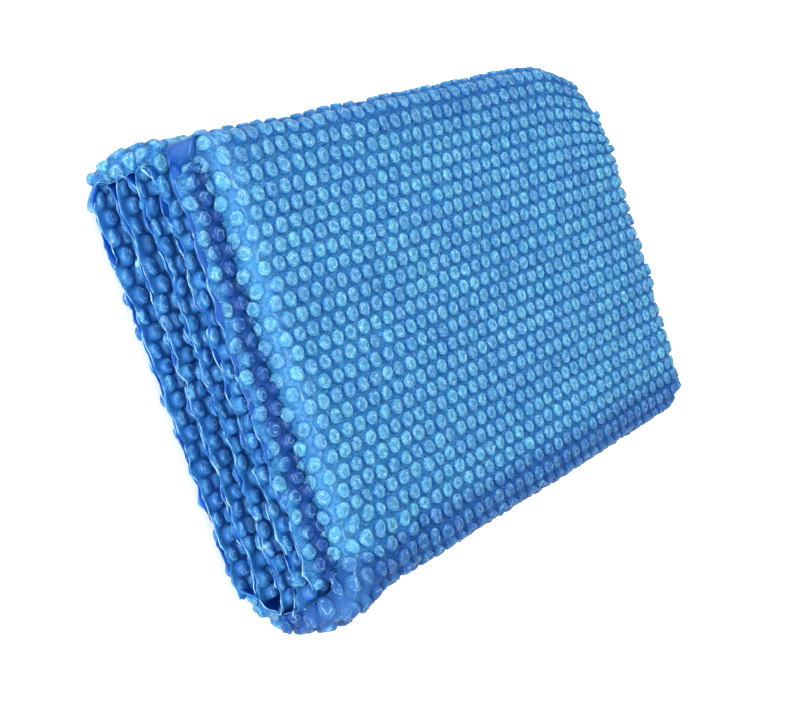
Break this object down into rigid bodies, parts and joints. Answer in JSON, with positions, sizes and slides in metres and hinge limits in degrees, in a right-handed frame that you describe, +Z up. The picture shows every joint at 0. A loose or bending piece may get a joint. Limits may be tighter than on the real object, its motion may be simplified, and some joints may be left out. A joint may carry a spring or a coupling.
{
  "type": "folded bubble pool cover",
  "caption": "Solar bubble pool cover, one long sheet of blue bubble film fan-folded into a flat pack whose front half opens over the spine like a book.",
  "frame": {"origin": "on the surface the pack lies on, under the middle of its box", "axes": "+X along the folds, +Y from the spine to the open folds, +Z up through the stack from the back panel to the front panel"},
  "size_m": [0.475, 0.3, 0.0861],
  "materials": {
    "bubble_film": "glossy blue translucent polyethylene bubbles",
    "backing_film": "glossy blue translucent polyethylene film"
  },
  "bodies": {
    "back_half": {"leaf_01_film": "backing_film", "leaf_01_bubbles": "bubble_film", "leaf_02_film": "backing_film", "leaf_02_bubbles": "bubble_film", "leaf_03_film": "backing_film", "leaf_03_bubbles": "bubble_film", "leaf_04_film": "backing_film", "leaf_04_bubbles": "bubble_film", "leaf_05_film": "backing_film", "leaf_05_bubbles": "bubble_film", "leaf_06_film": "backing_film", "leaf_06_bubbles": "bubble_film", "leaf_07_film": "backing_film", "leaf_07_bubbles": "bubble_film", "leaf_08_film": "backing_film", "leaf_08_bubbles": "bubble_film", "fold_02_03_film": "backing_film", "fold_02_03_bubbles": "bubble_film", "fold_03_04_film": "backing_film", "fold_03_04_bubbles": "bubble_film", "fold_04_05_film": "backing_film", "fold_04_05_bubbles": "bubble_film", "fold_05_06_film": "backing_film", "fold_05_06_bubbles": "bubble_film", "fold_06_07_film": "backing_film", "fold_06_07_bubbles": "bubble_film", "fold_07_08_film": "backing_film", "fold_07_08_bubbles": "bubble_film", "fold_01_08_film": "backing_film", "fold_01_08_bubbles": "bubble_film", "spine_lower_film": "backing_film", "spine_lower_bubbles": "bubble_film"},
    "spine": {"spine_panel_film": "backing_film", "spine_panel_bubbles": "bubble_film"},
    "front_half": {"leaf_09_film": "backing_film", "leaf_09_bubbles": "bubble_film", "leaf_10_film": "backing_film", "leaf_10_bubbles": "bubble_film", "leaf_11_film": "backing_film", "leaf_11_bubbles": "bubble_film", "leaf_12_film": "backing_film", "leaf_12_bubbles": "bubble_film", "fold_09_10_film": "backing_film", "fold_09_10_bubbles": "bubble_film", "fold_10_11_film": "backing_film", "fold_10_11_bubbles": "bubble_film", "fold_09_12_film": "backing_film", "fold_09_12_bubbles": "bubble_film", "spine_upper_film": "backing_film", "spine_upper_bubbles": "bubble_film"}
  },
  "joints": [
    {"name": "spine_lower_fold", "type": "hinge", "parent": "back_half", "child": "spine", "pos_m": [0, -0.13946, 0.01054], "axis": [1, 0, 0], "range_deg": [0, 90]},
    {"name": "spine_upper_fold", "type": "hinge", "parent": "spine", "child": "front_half", "pos_m": [0, -0.14414, 0.06341], "axis": [1, 0, 0], "range_deg": [0, 86.38]}
  ],
  "couplings": [
    {"joint": "spine_upper_fold", "follows": "spine_lower_fold", "ratio": 0.9597}
  ]
}
